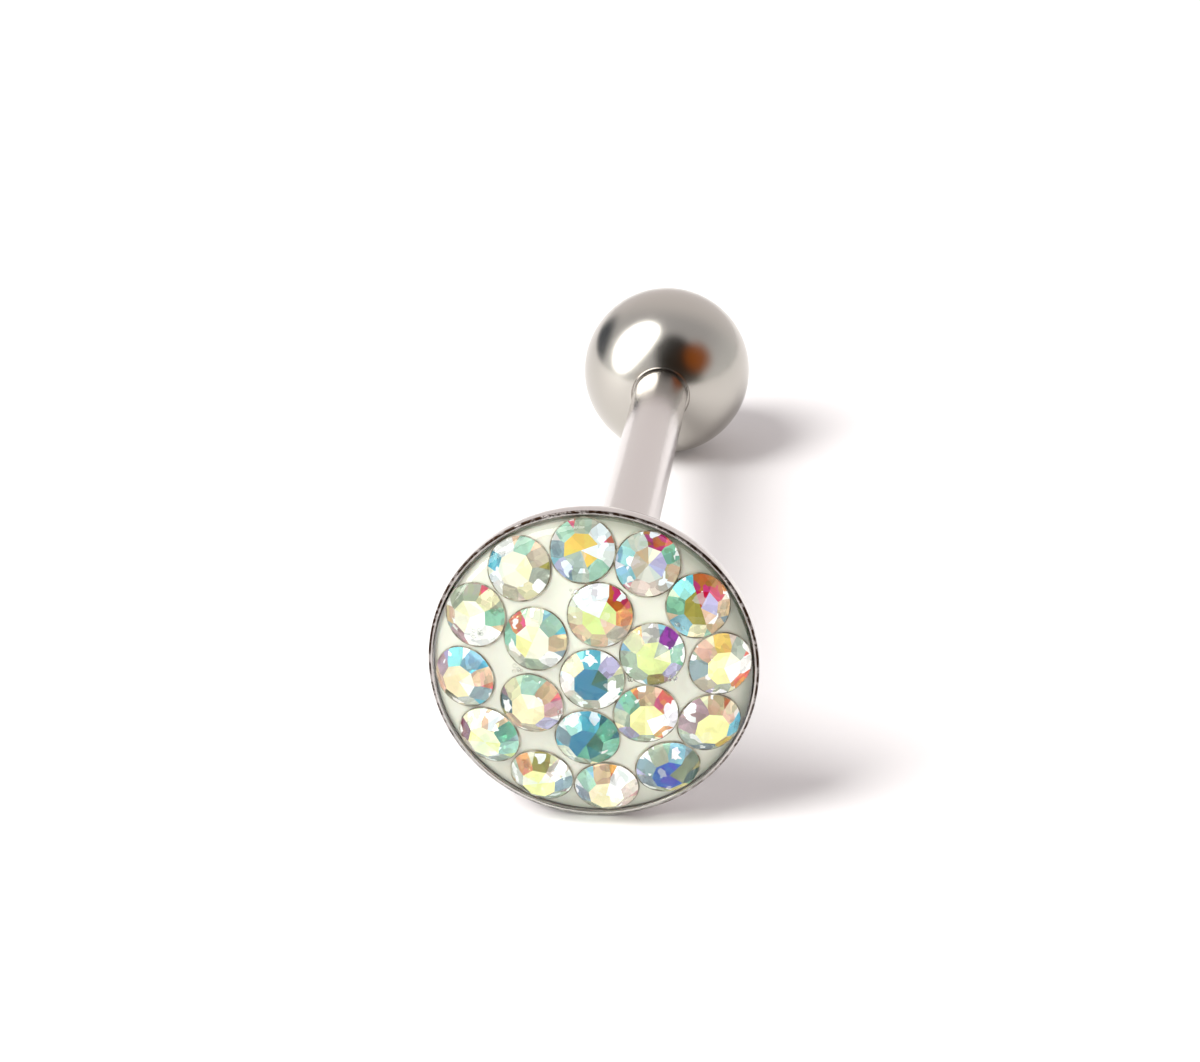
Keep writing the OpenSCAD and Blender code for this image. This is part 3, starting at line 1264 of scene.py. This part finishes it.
lamps = {
    "window": {    # mirrored only
        "from": (-0.68, -0.28, 0.67), "distance": 1.5, "shape": "ELLIPSE",
        "size": (1.25, 2.25), "power": 38.0, "colour": (1.0, 0.985, 0.96),
        "unseenBy": "diffuse",
    },
    "key": {       # lights matt things and casts the shadows
        "from": (-0.65, -0.36, 0.73), "distance": 1.5, "shape": "ELLIPSE",
        "size": (0.8, 1.3), "power": 31.0, "colour": (1.0, 0.985, 0.96),
        "unseenBy": "glossy",
    },
    "fill": {      # evens the bed out, and isn't mirrored in the steel
        "from": (0.62, -0.72, 0.30), "distance": 1.2, "shape": "DISK",
        "size": (0.9, 0.9), "power": 4.0, "colour": (1, 1, 1),
        "unseenBy": "glossy",
    },
}

for lampName, look in lamps.items():
    lamp = bpy.data.lights.new(lampName, "AREA")
    lamp.shape = look["shape"]
    lamp.size, lamp.size_y = look["size"]
    lamp.energy = look["power"]
    lamp.color = look["colour"]
    hung = newObject(lampName, lamp)
    direction = Vector(look["from"]).normalized()
    hung.location = direction * look["distance"]
    hung.rotation_euler = direction.to_track_quat("Z", "Y").to_euler()
    setattr(hung, "visible_" + look["unseenBy"], False)

# What the polished steel and the crystals mirror: a pale room, darker round the camera
# and at the far left, with an amber and a tan patch
roomPatches = [
    # direction, inner and outer half angle in degrees, colour, strength
    ((0.05, 0.90, 0.42), 15, 60, (0.98, 0.91, 0.90, 1), 0.9),
    ((0.55, -0.83, 0.05), 8, 32, (0.30, 0.31, 0.26, 1), 0.8),
    ((0.20, -0.66, 0.72), 18, 32, (0.020, 0.018, 0.016, 1), 0.98),
    ((0.28, -0.90, 0.33), 20, 34, (0.020, 0.015, 0.010, 1), 0.96),
    ((0.52, -0.70, 0.48), 17, 31, (0.030, 0.018, 0.010, 1), 0.92),
    ((0.72, -0.46, 0.52), 5, 26, (0.40, 0.10, 0.006, 1), 1.0),
    ((-0.46, -0.88, 0.10), 3, 15, (0.78, 0.56, 0.38, 1), 0.6),
    ((-0.85, 0.52, 0.05), 14, 28, (0.04, 0.05, 0.07, 1), 0.95),
]


def makeRoom(look, patches):
    world = bpy.data.worlds.new("room")
    world.use_nodes = True
    bpy.context.scene.world = world
    sheet = Sheet(world.node_tree)
    direction = sheet.node("ShaderNodeTexCoord", output=0)
    risen = sheet.ramp(sheet.part(direction, 2), 0.0, look["zenithFrom"])
    colour = sheet.blend(risen, look["horizon"], look["zenith"])
    for towards, inner, outer, tint, strength in patches:
        along = sheet.node("ShaderNodeVectorMath", {"operation": "DOT_PRODUCT"}, {
            0: direction, 1: Vector(towards).normalized(),
        }, output=1)
        edge = sheet.ramp(along, math.cos(math.radians(outer)), math.cos(math.radians(inner)))
        colour = sheet.blend(edge * strength, colour, tint)
    seen = sheet.node("ShaderNodeLightPath", output=0)
    onMatt = sheet.node("ShaderNodeLightPath", output=2)
    plain = sheet.node("ShaderNodeBackground", None, {"Color": look["background"]})
    room = sheet.node("ShaderNodeBackground", None, {
        "Color": colour, "Strength": look["strength"] - (1.0 - look["onMatt"]) * onMatt,
    })
    both = sheet.node("ShaderNodeMixShader", None, {0: seen, 1: room, 2: plain})
    sheet.node("ShaderNodeOutputWorld", None, {"Surface": both})


makeRoom(studio, roomPatches)

view = {
    "place": (0.007009, -0.080380, 0.040412),
    "turn": 5.6903,        # to the left of the jewel's length, degrees
    "down": 25.4355,
    "lens": 97.19,
}


def makeCamera(look):
    lens = bpy.data.cameras.new("camera")
    lens.sensor_width = 36    # millimetres
    lens.sensor_fit = "HORIZONTAL"
    lens.lens = look["lens"]
    lens.clip_start = 0.001
    lens.clip_end = 10
    made = newObject("camera", lens)
    made.location = look["place"]
    made.rotation_euler = (math.radians(90 - look["down"]), 0, math.radians(look["turn"]))
    bpy.context.scene.camera = made


makeCamera(view)
bpy.context.scene.view_settings.view_transform = "Standard"
print("studio set")
